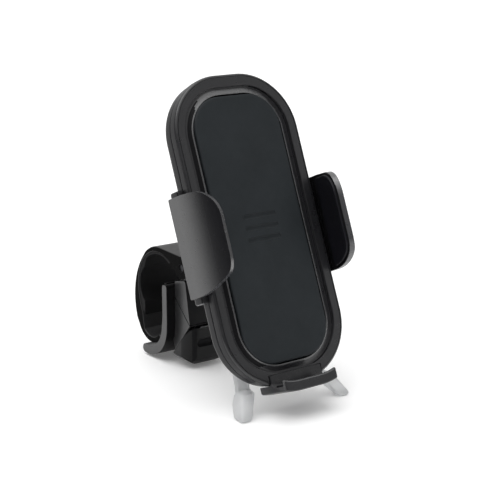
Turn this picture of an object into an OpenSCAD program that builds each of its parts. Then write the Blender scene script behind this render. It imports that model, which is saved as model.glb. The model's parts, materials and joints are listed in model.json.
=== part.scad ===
// Phone mount for a handlebar: a leaning cradle with two jaws and a ledge,
// a ball joint with a swivel, and a hinged clamp with a ratchet lever.
// Origin: the middle of the handlebar clamp. X runs along the handlebar,
// +Y towards the back, +Z up. Millimetres.

/* [Cradle] */
// Width of the cradle
cradle_w = 63.5; // [62:0.5:66]
// Length of the cradle
cradle_l = 135; // [130:1:145]
// Corner radius of the cradle
cradle_r = 26.2; // [24:0.1:28]
// Depth of the front bezel
bezel_t = 4.6; // [4.2:0.1:4.8]
// Depth from the bezel's face to the back of the shell
cradle_t = 11; // [11:0.1:12]
// Lean of the cradle behind the vertical, in degrees
lean = 22.6; // [15:0.1:30]
// Distance of the bezel's face in front of the handlebar
face_y = -68.3; // [-72:0.1:-66]
// Height of the middle of the bezel's face above the handlebar
face_z = 41; // [39:0.1:44]

/* [Face pad] */
// Width of the rubber pad
pad_w = 45.4; // [40:0.2:47]
// Length of the rubber pad
pad_l = 117; // [100:0.5:118]
// Corner radius of the rubber pad
pad_r = 15.2; // [12:0.1:18]

/* [Jaws] */
// Distance of each jaw's outer face from the middle
jaw_x = 37.2; // [37:0.1:38]
// Reach of the jaws in front of the bezel's face
jaw_reach = 19.6; // [18:0.1:21]
// Radius of the jaws' outer face
jaw_bend_r = 47.5; // [45:0.5:60]
// Wall thickness of the jaws
jaw_t = 2.6; // [2.4:0.1:2.8]
// Outward travel of each jaw
jaw_travel = 12.5; // [8:0.5:13]

/* [Ledge] */
// Half of the ledge's width
ledge_half_w = 13.6; // [12:0.1:17]
// Reach of the ledge in front of the bezel's face
ledge_reach = 10.2; // [9:0.1:12]

/* [Clamp] */
// Radius of the handlebar that the clamp holds when shut
bar_r = 11.1; // [10.8:0.1:11.2]
// Half of the width of the hook
hook_half_w = 15; // [14:0.5:16]
// Half of the width of the arm
arm_half_w = 13; // [12.5:0.1:13.5]
// Half of the width of the joint block
block_half_w = 10.4; // [10:0.1:11]

/* [Ball joint] */
// Radius of the ball
ball_r = 8.5; // [8.3:0.1:8.6]
// Distance of the ball's centre behind the bezel's face
ball_depth = 28; // [27:0.5:29]

/* [Hidden] */
$fn = 64;

// Colours
dark_plastic = [0.13, 0.13, 0.135];
satin_plastic = [0.2, 0.2, 0.21];
soft_rubber = [0.07, 0.075, 0.08];
steel = [0.6, 0.6, 0.62];
frosted = [0.92, 0.93, 0.94];

// General clearances
gap = 0.3;
run_gap = 0.05;
far = 80;

// Cradle layers, measured along its own z, which points out of the face
deck_top = -2.6;
pad_top = 0.9;
shell_front = -bezel_t - gap;
floor_in = 2 - cradle_t;
slide_lo = -8.7;
slide_hi = -6.1;
slot_lo = -8.95;
slot_hi = -5.85;
bezel_in = 6.6;

// Shoulders of the back shell
pod_x = jaw_x - jaw_t - 0.25;
pod_top = 21.2;
pod_bottom = -27.3;

// Jaw slider, racks and pinion
slider_in = 19.5;
slider_bottom = -18;
slider_top = 12;
gear_y = -3;
gear_teeth = 12;
gear_module = 1;
gear_r = gear_teeth * gear_module / 2;
gear_pitch = PI * gear_module;
gear_backlash = 0.12;
gear_angle = 20;
rack_tip = 0.7;
rack_root = 1.2;
rack_back = 6;
rack_end = jaw_travel + 6;
axle_r = 1.5;

// Screws
case_screw_at = [[-19, 50], [19, 50], [-19, -42], [19, -42]];
screw_r = 1.1;
screw_head_r = 2.1;
ring_screw_at = [45, 135, 225, 315];
ring_screw_pcd_r = 12;

// Release button on the back
button_half_w = 5;
button_travel = 2.5;
shoe_top = gear_y - gear_r - rack_back - gap;
button_bottom = -31;
button_stop = -38;

// Hub at the back of the cradle
flange_r = 9.8;
flange_front = -cradle_t - 0.4;
flange_back = flange_front - 1.8;
ring_r = 14;
ring_back = flange_back - 2;
neck_r = 4.2;

// Ball joint, heights measured from the ball's centre towards the cradle
seat_in_r = ball_r + 0.1;
seat_out_r = ball_r + 1.3;
socket_in_r = seat_out_r + 0.1;
socket_r = 11.8;
socket_back = -11;
seat_top = 3.2;
nut_r = 14.4;
nut_back = -3.5;
nut_front = 6.2;
nut_hole_r = 7.8;

// Clamp side view: y and z
bar_back = -11.9;
bar_front = -15.6;
bar_top = 4.6;
hook_centre = [1.7, -15.5];
hook_out_r = 17.1;
hook_in_r = 12.8;
hinge_at = [-25, 14.9];
knuckle_r = 5.6;
hinge_pin_r = 1.8;
lug_half_w = 6;
ridge = [-27.8, -12.5];
wedge_foot = [-15.4, -27.2];
lever_at = [-23.8, -15.6];
lever_pin_r = 0.9;
block_screw_at = [7, 2];
lever_half_w = 12;

// Arm side view
arch_at = [-5.8, 0];
arch_in_r = 17;
back_at = [-20.8, 0];
back_in_r = 32;
liner_t = 1.2;
crown_at = [-6.5, 2.2];
crown_r = 18.6;
spine_at = [-16, -7.5];
spine_r = 32;
tongue_out_r = 11.9;
tongue_in_r = 9.1;
liner_half_w = arm_half_w - 0.4;
seat_half = 52;
liner_end = 122;

// Rest feet
floor_z = -33.5;
foot_peg_at = [19.3, -51];
foot_peg_r = 1.6;

function arc(c, r, from, to, steps = 12) = [
  for (i = [0 : steps]) let (a = from + (to - from) * i / steps)
    [c.x + r * cos(a), c.y + r * sin(a)]
];

function involute(a) = tan(a) * 180 / PI - a;

// Wedge from the horizontal round to an angle, whose end slants outward from the seat
function lip_outline(a, slope) = let (d = a + sign(a) * (90 - slope))
  [[0, 0], bar_r * [cos(a), sin(a)], bar_r * [cos(a), sin(a)] + 14 * [cos(d), sin(d)],
   far * [cos(a), sin(a)], [far, 0]];

// --- helpers ---

module slab(low, high) {
  translate([0, 0, low]) linear_extrude(high - low) children();
}

// A side view drawn as y and z, from x0 to x1
module along_x(x0, x1) {
  translate([x0, 0, 0]) rotate([90, 0, 90]) linear_extrude(x1 - x0) children();
}

module both_sides() {
  children();
  mirror([1, 0, 0]) children();
}

module on_cradle() {
  translate([0, face_y, face_z]) rotate([90 - lean, 0, 0]) children();
}

module at_ball() {
  on_cradle() translate([0, 0, -ball_depth]) children();
}

module rounded_rect(w, l, r) {
  square([w - 2 * r, l], center = true);
  square([w, l - 2 * r], center = true);
  for (sx = [-1, 1], sy = [-1, 1])
    translate([sx * (w / 2 - r), sy * (l / 2 - r)]) circle(r);
}

module cradle_outline(inset = 0) {
  rounded_rect(cradle_w - 2 * inset, cradle_l - 2 * inset, cradle_r - inset);
}

module block(low, high) {
  translate(low) cube(high - low);
}

module capsule(length, r) {
  square([length, 2 * r], center = true);
  for (s = [-1, 1]) translate([s * length / 2, 0]) circle(r);
}

// A round wire wound into a coil along z
module coil(coil_r, wire_r, height, turns, sides = 6, steps = 14) {
  rings = turns * steps;
  points = [
    for (i = [0 : rings], j = [0 : sides - 1])
      let (a = 360 * i / steps, b = 360 * j / sides, r = coil_r + wire_r * cos(b))
      [r * cos(a), r * sin(a), height * i / rings + wire_r * sin(b)]
  ];
  walls = [
    for (i = [0 : rings - 1], j = [0 : sides - 1])
      let (k = (j + 1) % sides)
      [i * sides + j, (i + 1) * sides + j, (i + 1) * sides + k, i * sides + k]
  ];
  start = [for (j = [0 : sides - 1]) j];
  finish = [for (j = [sides - 1 : -1 : 0]) rings * sides + j];
  polyhedron(points, concat(walls, [start, finish]));
}

// --- cradle ---

module front_bezel() {
  color(dark_plastic) on_cradle() difference() {
    union() {
      slab(-bezel_t, 0) cradle_outline();
      for (p = case_screw_at) translate(p) slab(floor_in + 0.1, -bezel_t + 0.1) circle(3);
    }
    slab(deck_top, 1) cradle_outline(bezel_in);
    block([-ledge_half_w - 0.4, -far, -1.5], [ledge_half_w + 0.4, -62.2, 1]);
    for (p = case_screw_at) translate(p) slab(-far, deck_top - 0.8) circle(screw_r - 0.05);
    translate([0, gear_y]) slab(-far, deck_top - 0.6) circle(axle_r + 0.02);
  }
}

module face_pad() {
  color(soft_rubber) on_cradle() difference() {
    slab(deck_top, pad_top) rounded_rect(pad_w, pad_l, pad_r);
    for (i = [-1 : 1]) translate([0, i * 5]) slab(pad_top - 0.5, 1) capsule(15, 1.1);
  }
}

module back_shell() {
  jaw_slot = [slider_bottom - gap, slider_top + gap];
  color(satin_plastic) on_cradle() {
    difference() {
      union() {
        slab(-cradle_t, shell_front) cradle_outline(0.35);
        slab(-cradle_t, shell_front)
          translate([-pod_x, pod_bottom]) square([2 * pod_x, pod_top - pod_bottom]);
      }
      slab(floor_in, 0) cradle_outline(2.4);
      block([-far, jaw_slot[0], slot_lo], [far, jaw_slot[1], slot_hi]);
      block([-9.3, -far, slot_lo], [9.3, -44, slot_hi - 0.1]);
      block([-button_half_w - 0.2, button_bottom - button_travel - 0.3, -far],
            [button_half_w + 0.2, -21, -5]);
      translate([0, gear_y]) slab(-cradle_t + 0.8, 0) circle(axle_r + 0.02);
      for (p = case_screw_at) translate(p) {
        slab(-far, 0) circle(screw_r + 0.15);
        slab(-far, -cradle_t + 1.2) circle(screw_head_r + 0.1);
      }
      for (a = ring_screw_at) rotate(a) translate([ring_screw_pcd_r, 0])
        slab(-far, floor_in - 0.3) circle(screw_r - 0.05);
      both_sides() translate(foot_peg_at) slab(-far, 0) circle(foot_peg_r + 0.02);
    }
    // rails that guide the two rack arms, open where the lock shoe works
    slab(floor_in - 0.1, slide_hi) {
      translate([-17.5, gear_y + gear_r + rack_back + gap]) square([35, 1.2]);
      for (x = [-17.5, 7]) translate([x, gear_y - gear_r - rack_back - gap - 1.2]) square([10.5, 1.2]);
      translate([-6, button_stop - 1.5]) square([12, 1.5]);
    }
  }
}

module case_screws() {
  color(steel) on_cradle() for (p = case_screw_at) translate(p) difference() {
    union() {
      slab(-cradle_t + 0.1, -cradle_t + 1.2) circle(screw_head_r);
      slab(-cradle_t + 1, deck_top - 1.4) circle(screw_r - 0.1);
    }
    slab(-cradle_t, -cradle_t + 0.7) circle(0.9, $fn = 6);
  }
}

module pinion_axle() {
  color(steel) on_cradle() translate([0, gear_y])
    slab(-cradle_t + 0.8, deck_top - 0.6) circle(axle_r);
}

module pinion_spring() {
  turns = 2.5;
  steps = 50;
  inner = [for (i = [0 : steps]) let (a = 360 * turns * i / steps, r = 2.2 + 2.9 * i / steps)
    [r * cos(a), r * sin(a)]];
  outer = [for (i = [steps : -1 : 0]) let (a = 360 * turns * i / steps, r = 2.65 + 2.9 * i / steps)
    [r * cos(a), r * sin(a)]];
  color(steel) on_cradle() translate([0, gear_y])
    slab(slide_hi + 0.25, -bezel_t - 0.2) polygon(concat(inner, outer));
}

module pinion() {
  base_r = gear_r * cos(gear_angle);
  tip_r = gear_r + 0.8;
  root_r = gear_r - 1.2;
  half = 90 / gear_teeth - gear_backlash / gear_r * 180 / PI;
  flank = [for (i = [0 : 5]) let (r = base_r + (tip_r - base_r) * i / 5)
    [r, half + involute(gear_angle) - involute(acos(base_r / r))]];
  color(satin_plastic) on_cradle() translate([0, gear_y]) slab(slide_lo + 0.1, slide_hi - 0.1)
    difference() {
      union() {
        circle(root_r);
        for (k = [0 : gear_teeth - 1]) rotate(90 + k * 360 / gear_teeth) polygon(concat(
          [[0, 0], [root_r * cos(flank[0][1]), -root_r * sin(flank[0][1])]],
          [for (f = flank) [f[0] * cos(f[1]), -f[0] * sin(f[1])]],
          [for (i = [5 : -1 : 0]) [flank[i][0] * cos(flank[i][1]), flank[i][0] * sin(flank[i][1])]],
          [[root_r * cos(flank[0][1]), root_r * sin(flank[0][1])]]
        ));
      }
      circle(axle_r + run_gap);
    }
}

module release_button() {
  color(dark_plastic) on_cradle() {
    block([-3.5, -21, slide_lo], [3.5, shoe_top, slide_hi]);
    block([-4.5, button_bottom, slide_lo], [4.5, -20.5, slide_hi]);
    block([-button_half_w, -30, -cradle_t - 1.6], [button_half_w, -23.8, slide_lo + 0.1]);
    for (y = [-28.5, -27, -25.5]) block([-4, y, -cradle_t - 2.1], [4, y + 0.7, -cradle_t - 1.5]);
  }
}

module button_spring() {
  height = button_bottom - button_stop - 1;
  color(steel) on_cradle() translate([0, button_stop + 0.5, (slide_lo + slide_hi) / 2 - 0.1])
    rotate([-90, 0, 0]) coil(0.95, 0.25, height, 6);
}

// --- jaws ---

// Outer face, cross-section and side view of the right jaw
module jaw_wall(outer_r, thickness, low) {
  centre_x = jaw_x - jaw_bend_r;
  rotate([90, 0, 0]) linear_extrude(60, center = true) {
    intersection() {
      translate([centre_x, -2]) difference() {
        circle(outer_r, $fn = 160);
        circle(outer_r - thickness, $fn = 160);
      }
      translate([0, max(low, -2)]) square([60, 60]);
    }
    if (low < -2) translate([centre_x + outer_r - thickness, low]) square([thickness, -2 - low]);
  }
}

jaw_side = concat(
  [[-24.5, slide_lo], [-24.3, 1.5], [-22.6, 8.5], [-19.6, jaw_reach - 4.6], [-17.2, jaw_reach - 1.2]],
  [[-14.2, jaw_reach]], arc([5.5, jaw_reach - 12.5], 12.5, 90, 5), [[18.4, 1], [18.4, slide_lo]]
);

jaw_pad_side = concat(
  [[-23, 1], [-21.5, 8], [-18.7, jaw_reach - 5.2], [-16.5, jaw_reach - 2.3], [-13.8, jaw_reach - 1.1]],
  arc([5.5, jaw_reach - 12.5], 11.4, 90, 5), [[16.8, 1]]
);

module right_jaw_solid() {
  intersection() {
    jaw_wall(jaw_bend_r, jaw_t, slide_lo);
    along_x(20, 60) polygon(jaw_side);
  }
  block([slider_in, slider_bottom, slide_lo], [jaw_x - 1, slider_top, slide_hi]);
  rack_arm();
}

// Rack below the pinion with its teeth upwards
module rack_arm() {
  line = gear_y - gear_r;
  tooth = gear_pitch / 4 - gear_backlash;
  slope = tan(gear_angle);
  slab(slide_lo, slide_hi) {
    translate([-rack_end, line - rack_back]) square([rack_end + slider_in + 1, rack_back - rack_root]);
    for (k = [-6 : 5]) translate([(k + 0.5) * gear_pitch, line]) polygon([
      [-tooth - rack_root * slope, -rack_root - 0.1], [tooth + rack_root * slope, -rack_root - 0.1],
      [tooth - rack_tip * slope, rack_tip], [-tooth + rack_tip * slope, rack_tip]
    ]);
  }
}

module jaw_pad_solid() {
  intersection() {
    jaw_wall(jaw_bend_r - jaw_t, 1.1, 0);
    along_x(20, 60) polygon(jaw_pad_side);
  }
}

module right_jaw() {
  color(dark_plastic) on_cradle() right_jaw_solid();
}

module right_jaw_pad() {
  color(soft_rubber) on_cradle() jaw_pad_solid();
}

// The left jaw's wall mirrors the right one; its rack runs above the pinion
module left_jaw() {
  color(dark_plastic) on_cradle() {
    mirror([1, 0, 0]) {
      intersection() {
        jaw_wall(jaw_bend_r, jaw_t, slide_lo);
        along_x(20, 60) polygon(jaw_side);
      }
      block([slider_in, slider_bottom, slide_lo], [jaw_x - 1, slider_top, slide_hi]);
    }
    translate([0, gear_y, 0]) rotate(180) translate([0, -gear_y, 0]) rack_arm();
  }
}

module left_jaw_pad() {
  color(soft_rubber) on_cradle() mirror([1, 0, 0]) jaw_pad_solid();
}

// --- ledge ---

// Stretch of the cradle's lower rim between two outward offsets
module ledge_band(out, in, half_w, top) {
  intersection() {
    difference() {
      cradle_outline(-out);
      cradle_outline(-in);
    }
    translate([-half_w, -far]) square([2 * half_w, far + top]);
  }
}

module bottom_ledge() {
  lip_back = ledge_reach - 1.7;
  color(dark_plastic) on_cradle() {
    difference() {
      slab(slide_lo, ledge_reach) ledge_band(3.3, 0.3, ledge_half_w, -62.4);
      slab(1, lip_back) ledge_band(1.3, 0, ledge_half_w - 1.6, -61);
    }
    slab(lip_back, ledge_reach) ledge_band(1, -1.2, ledge_half_w - 1, -62.4);
    slab(-1.2, 0.3) ledge_band(0.6, -far / 8, ledge_half_w, -62.4);
    block([-9, -68.5, slide_lo], [9, -46, slide_hi - 0.2]);
  }
}

module ledge_pad() {
  color(soft_rubber) on_cradle()
    slab(1.05, ledge_reach - 1.75) ledge_band(1.25, 0.2, ledge_half_w - 1.7, -61.1);
}

// --- hub and ball joint ---

module swivel_washer() {
  color(soft_rubber) on_cradle() slab(-cradle_t - 0.34, -cradle_t - 0.02) difference() {
    circle(9.5);
    circle(3);
  }
}

module swivel_ring() {
  color(satin_plastic) on_cradle() difference() {
    slab(ring_back, -cradle_t) circle(ring_r);
    slab(flange_back - 0.05, 0) circle(flange_r + run_gap);
    slab(-far, 0) circle(7.2);
    for (a = ring_screw_at) rotate(a) translate([ring_screw_pcd_r, 0]) {
      slab(-far, 0) circle(screw_r + 0.1);
      slab(-far, ring_back + 1.3) circle(screw_head_r - 0.3);
    }
  }
}

module ring_screws() {
  color(steel) on_cradle() for (a = ring_screw_at) rotate(a) translate([ring_screw_pcd_r, 0])
    difference() {
      union() {
        slab(ring_back + 0.1, ring_back + 1.3) circle(screw_head_r - 0.4);
        slab(ring_back + 1.2, floor_in - 0.5) circle(screw_r - 0.1);
      }
      slab(ring_back, ring_back + 0.7) circle(0.8, $fn = 6);
    }
}

module ball_stud() {
  color(steel) at_ball() {
    sphere(ball_r);
    slab(0, ball_depth + flange_back + 0.1) circle(neck_r);
    slab(ball_depth + flange_back, ball_depth + flange_front) circle(flange_r);
  }
}

module ball_seat() {
  color(dark_plastic) at_ball() difference() {
    sphere(seat_out_r);
    sphere(seat_in_r);
    slab(seat_top, far) circle(far);
    slab(-far, -6.5) circle(far);
    for (a = [0 : 90 : 270]) rotate(a) block([5, -0.6, -1.5], [far, 0.6, far]);
  }
}

module collar_nut() {
  color(satin_plastic) at_ball() difference() {
    slab(nut_back, nut_front) circle(nut_r);
    slab(-far, seat_top + 0.4) circle(socket_r + 0.1);
    slab(-far, far) circle(nut_hole_r);
    for (a = [0 : 30 : 330]) rotate(a) translate([nut_r + 1.1, 0]) slab(-far, far) circle(2);
  }
}

// --- clamp ---

// Upper wedge, hinge lug and ball socket
module joint_block() {
  socket_at = [face_y + ball_depth * cos(lean), face_z - ball_depth * sin(lean)];
  neck_at = socket_at + 9.5 * [cos(lean), -sin(lean)];
  color(satin_plastic) difference() {
    union() {
      along_x(-block_half_w, block_half_w)
        polygon([[-15.7, -1.1], [-15.7, 6.3], [-24.3, 8.2], ridge + [0, 0.4]]);
      along_x(-lug_half_w, lug_half_w) {
        hull() {
          translate(hinge_at) circle(knuckle_r);
          translate(neck_at) circle(7.6);
        }
        hull() {
          translate(hinge_at) circle(knuckle_r);
          translate([-22, 4]) circle(4);
        }
      }
      at_ball() slab(socket_back, seat_top - 0.1) circle(socket_r);
    }
    at_ball() sphere(socket_in_r);
    at_ball() slab(0, far) circle(socket_in_r);
    along_x(-far, far) translate(hinge_at) circle(hinge_pin_r + 0.02);
    block_screw_holes(screw_r - 0.05);
  }
}

module block_screw_holes(r) {
  both_sides() translate([block_screw_at.x, -22, block_screw_at.y]) rotate([-90, 0, 0])
    cylinder(r = r, h = 22);
}

module block_screws() {
  color(steel) both_sides() translate([block_screw_at.x, 0, block_screw_at.y]) rotate([-90, 0, 0]) {
    translate([0, 0, -20]) cylinder(r = screw_r - 0.1, h = 20 + bar_back - 1.4);
    translate([0, 0, bar_back - 1.5]) cylinder(r = screw_head_r, h = 1.4);
  }
}

module hinge_pin() {
  color(steel) along_x(-arm_half_w + 0.6, arm_half_w - 0.6) translate(hinge_at) circle(hinge_pin_r);
}

module lever_pin() {
  color(steel) along_x(-9.9, 9.9) translate(lever_at) circle(lever_pin_r);
}

module lever_spring() {
  color(steel) translate([3.8, lever_at.x, lever_at.y]) rotate([0, 90, 0]) coil(1.5, 0.25, 2.2, 3);
}

// Lower wedge and J-shaped hook
module clamp_base() {
  color(satin_plastic) difference() {
    union() {
      along_x(-hook_half_w, hook_half_w) {
        translate([bar_front, hook_centre.y]) square([bar_back - bar_front, bar_top - hook_centre.y]);
        difference() {
          translate(hook_centre) circle(hook_out_r);
          translate(hook_centre) circle(hook_in_r);
          translate([-far, hook_centre.y]) square([2 * far, far]);
          translate([hook_centre.x + 2, -far]) square([far, 2 * far]);
        }
        translate([bar_front, hook_centre.y - 3]) square([1.6, 3]);
        translate([hook_centre.x + 2, hook_centre.y - (hook_out_r + hook_in_r) / 2 + 0.1])
          circle((hook_out_r - hook_in_r) / 2 - 0.1);
      }
      along_x(-block_half_w, block_half_w)
        polygon([[-15, -1.2], ridge, [ridge.x + 1.2, ridge.y - 1.4], wedge_foot, [-13, -20]]);
    }
    // slots for the lever's ears, spring and pawl
    both_sides() along_x(6.8, 9.7) {
      translate(lever_at) circle(2.7);
      translate(lever_at + [-9, -4.2]) square([10.9, 6.9]);
    }
    along_x(3.4, 6.4) translate(lever_at) circle(2.3);
    along_x(-3.4, 3.4) polygon([
      [-far, -13.4], [-19, -13.4], [-4.5, -18.5], [-4.5, -25.6], [-13, -31], [-far, -31]
    ]);
    along_x(-10, 10) translate(lever_at) circle(lever_pin_r + 0.02);
    block_screw_holes(screw_r + 0.05);
    both_sides() translate([block_screw_at.x, bar_back - 1.6, block_screw_at.y]) rotate([-90, 0, 0])
      cylinder(r = screw_head_r + 0.1, h = 5);
  }
}

module hook_liner() {
  color(soft_rubber) along_x(-liner_half_w, liner_half_w) difference() {
    translate([bar_back, -6.4]) square([-bar_back - 9, 6.4 + bar_top]);
    circle(bar_r, $fn = 96);
  }
}

module clamp_arm() {
  spine_end = -19.5;
  outer = concat(
    [hinge_at + [-1.2, knuckle_r - 0.3]],
    arc(crown_at, crown_r, 92, 45.6), arc(spine_at, spine_r, 44, spine_end),
    arc(hook_centre, tongue_out_r, -24, -140, 20)
  );
  inner = concat(
    arc(hook_centre, tongue_in_r, -140, -48, 16),
    arc(back_at, back_in_r + liner_t, -26, 0, 8), arc(arch_at, arch_in_r + liner_t, 4, 128, 24),
    [hinge_at - [1.2, knuckle_r - 0.3]]
  );
  color(dark_plastic) difference() {
    union() {
      along_x(-arm_half_w, arm_half_w) polygon(concat(outer, inner));
      along_x(-arm_half_w, arm_half_w) translate(hinge_at) circle(knuckle_r);
    }
    along_x(-lug_half_w - 0.2, lug_half_w + 0.2) translate(hinge_at) {
      circle(8.4);
      rotate(-17) translate([-8, 0]) square([14, 14]);
    }
    along_x(-far, far) translate(hinge_at) circle(hinge_pin_r + run_gap);
    // ratchet notches across the tongue
    for (a = [-132 : 6 : -96]) along_x(-4, 4) translate(hook_centre) rotate(a)
      translate([tongue_out_r + 0.15, 0]) polygon([[0, -1.2], [-0.9, 0.9], [0, 1]]);
  }
}

module arm_liner() {
  color(soft_rubber) along_x(-liner_half_w, liner_half_w) difference() {
    union() {
      intersection() {
        difference() {
          translate(arch_at) circle(arch_in_r + liner_t - 0.03, $fn = 96);
          translate(arch_at) circle(arch_in_r, $fn = 96);
        }
        polygon([
          [11, 0], [30, 0], [30, 30],
          arch_at + 30 * [cos(liner_end), sin(liner_end)], arch_at + 10 * [cos(liner_end), sin(liner_end)]
        ]);
      }
      intersection() {
        difference() {
          translate(back_at) circle(back_in_r + liner_t - 0.03, $fn = 160);
          translate(back_at) circle(back_in_r, $fn = 160);
        }
        polygon([[0, 0], [20, 0], [20, -14], [0, -14]]);
      }
      // lips that carry the round seat, with slanted ends
      intersection() {
        translate(arch_at) circle(arch_in_r + liner_t - 0.03, $fn = 96);
        polygon(lip_outline(seat_half, 35));
      }
      intersection() {
        translate(back_at) circle(back_in_r + liner_t - 0.03, $fn = 160);
        polygon(lip_outline(-seat_half, 60));
      }
    }
    circle(bar_r, $fn = 96);
  }
}

module release_lever() {
  color(dark_plastic) {
    difference() {
      intersection() {
        along_x(-lever_half_w, lever_half_w) polygon(concat(
          [ridge + [-0.3, -1.5], ridge + [0.75, -2], wedge_foot + [-0.5, -0.5], [-16.2, -29.5]],
          arc([-19.4, -30], 3, 0, -90, 6), arc([-22, -27], 6, -90, -180, 8)
        ));
        translate([0, -40, 0]) rotate([-90, 0, 0]) linear_extrude(40) {
          intersection() {
            translate([0, 16.9]) circle(16.4, $fn = 96);
            translate([-11.9, 13]) square([23.8, 30]);
          }
        }
        slab(-40, 0) {
          translate([-lever_half_w, -23.4]) square([2 * lever_half_w, 30]);
          both_sides() translate([lever_half_w - 5, -23.4]) circle(5);
          translate([-lever_half_w + 5, -28.4]) square([2 * lever_half_w - 10, 10]);
        }
      }
      translate([0, -26.5, -23.5]) rotate([90, 0, 0]) linear_extrude(6) capsule(14, 2.6);
      along_x(3.4, 6.5) translate(lever_at) circle(2);
    }
    both_sides() along_x(7, 9.5) difference() {
      hull() {
        translate(lever_at) circle(2.2);
        translate([-24.6, -20]) circle(1.2);
      }
      translate(lever_at) circle(lever_pin_r + run_gap);
    }
    along_x(-3, 3) polygon([
      [-24.5, -18], [-18, -21.5], [-10.6, -20.6], [-8.9, -22.2], [-11.5, -23.6], [-18, -25.5]
    ]);
  }
}

// --- feet ---

// Plate behind the shell, with a leg that splays outward and forward under the rim
module rest_foot_solid() {
  knee = [[17.6, -88.5, -25], [23.5, -82.2, -23.7]];
  on_cradle() {
    block([16.2, -65.4, -14.2], [22.5, -46, -cradle_t - 0.02]);
    translate(foot_peg_at) slab(-cradle_t - 1, floor_in) circle(foot_peg_r);
  }
  hull() {
    on_cradle() block([16.2, -67.4, -14.2], [22.5, -65.3, -cradle_t - 0.02]);
    block(knee[0], knee[1]);
  }
  hull() {
    block(knee[0], knee[1]);
    block([23.6, -94.6, floor_z], [28.4, -88.6, floor_z + 1.5]);
  }
}

module left_rest_foot() {
  color(frosted) mirror([1, 0, 0]) rest_foot_solid();
}

module right_rest_foot() {
  color(frosted) rest_foot_solid();
}

clamp_base();
hook_liner();
joint_block();
block_screws();
hinge_pin();
lever_pin();
lever_spring();
clamp_arm();
arm_liner();
release_lever();
collar_nut();
ball_seat();
ball_stud();
back_shell();
front_bezel();
face_pad();
case_screws();
swivel_ring();
swivel_washer();
ring_screws();
pinion_axle();
pinion_spring();
pinion();
left_jaw();
left_jaw_pad();
right_jaw();
right_jaw_pad();
release_button();
button_spring();
bottom_ledge();
ledge_pad();
left_rest_foot();
right_rest_foot();
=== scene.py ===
import json
import math

import bmesh
import bpy
from mathutils import Matrix, Vector


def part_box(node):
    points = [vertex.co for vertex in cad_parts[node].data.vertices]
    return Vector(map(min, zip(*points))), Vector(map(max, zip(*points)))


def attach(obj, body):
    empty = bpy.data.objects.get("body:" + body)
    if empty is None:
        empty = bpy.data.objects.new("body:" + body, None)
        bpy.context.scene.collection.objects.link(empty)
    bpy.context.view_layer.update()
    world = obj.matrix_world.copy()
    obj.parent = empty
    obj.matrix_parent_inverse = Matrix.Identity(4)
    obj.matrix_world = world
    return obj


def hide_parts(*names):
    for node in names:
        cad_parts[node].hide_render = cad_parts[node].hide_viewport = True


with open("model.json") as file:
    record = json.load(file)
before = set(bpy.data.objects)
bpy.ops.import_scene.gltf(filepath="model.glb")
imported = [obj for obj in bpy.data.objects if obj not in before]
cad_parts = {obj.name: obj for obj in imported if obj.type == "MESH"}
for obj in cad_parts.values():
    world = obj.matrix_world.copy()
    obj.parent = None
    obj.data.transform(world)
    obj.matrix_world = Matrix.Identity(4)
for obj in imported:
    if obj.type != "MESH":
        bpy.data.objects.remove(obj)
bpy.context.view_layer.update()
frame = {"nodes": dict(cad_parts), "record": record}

MM = 0.001
NODES = frame["nodes"]
JOINTS = {j["name"]: j for j in frame["record"]["behaviour"]["joints"]}

# The cradle's own axes: X, up its length, and out of its face
FACE = Vector(JOINTS["cradle_swivel"]["pos_m"])
OUT = Vector(JOINTS["cradle_swivel"]["axis"]).normalized()
SIDE = Vector((1, 0, 0))
UP = OUT.cross(SIDE)
BALL = Vector(JOINTS["ball_tilt"]["pos_m"])


def axes(x, y, z, origin):
    """Matrix from local millimetres to the row frame."""
    m = Matrix((x, y, z)).transposed().to_4x4()
    m.translation = origin
    return m @ Matrix.Scale(MM, 4)


CRADLE = axes(SIDE, UP, OUT, FACE)
AT_BALL = axes(SIDE, UP, OUT, BALL)
# A side view (y, z) pushed along X, and a front view (x, z) pushed along Y
ALONG_X = axes(Vector((0, 1, 0)), Vector((0, 0, 1)), Vector((1, 0, 0)), Vector())
ROW = Matrix.Scale(MM, 4)
ALONG_Y = axes(Vector((1, 0, 0)), Vector((0, 0, 1)), Vector((0, -1, 0)), Vector())


# ---------------------------------------------------------------- mesh helpers

def arc(cx, cy, r, a0, a1, steps=12):
    return [(cx + r * math.cos(math.radians(a0 + (a1 - a0) * i / steps)),
             cy + r * math.sin(math.radians(a0 + (a1 - a0) * i / steps))) for i in range(steps + 1)]


def fillet(points, cut, steps=6):
    """Rounds the corners of a closed outline. cut is how far each corner is cut back, one number
    or a list."""
    out = []
    count = len(points)
    for i, p in enumerate(points):
        c = cut[i] if isinstance(cut, (list, tuple)) else cut
        p = Vector(p)
        a, b = Vector(points[i - 1]), Vector(points[(i + 1) % count])
        da, db = a - p, b - p
        turn = math.degrees(math.pi - da.angle(db))
        if c <= 0 or turn < 6:
            out.append(tuple(p))
            continue
        reach = min(c, 0.45 * da.length, 0.45 * db.length)
        p0, p1 = p + da.normalized() * reach, p + db.normalized() * reach
        n = max(2, round(steps * turn / 90))
        for k in range(n + 1):
            t = k / n
            q = p0 * (1 - t) ** 2 + p * (2 * t * (1 - t)) + p1 * t * t
            out.append(tuple(q))
    return out


def prism(outline, low, high):
    bm = bmesh.new()
    area = sum(p[0] * q[1] - q[0] * p[1] for p, q in zip(outline, outline[1:] + outline[:1]))
    if area < 0:
        outline = outline[::-1]
    bottom = [bm.verts.new((x, y, low)) for x, y in outline]
    top = [bm.verts.new((x, y, high)) for x, y in outline]
    bm.faces.new(bottom[::-1])
    bm.faces.new(top)
    n = len(outline)
    for i in range(n):
        j = (i + 1) % n
        bm.faces.new((bottom[i], bottom[j], top[j], top[i]))
    bm.normal_update()
    return bm


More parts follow.
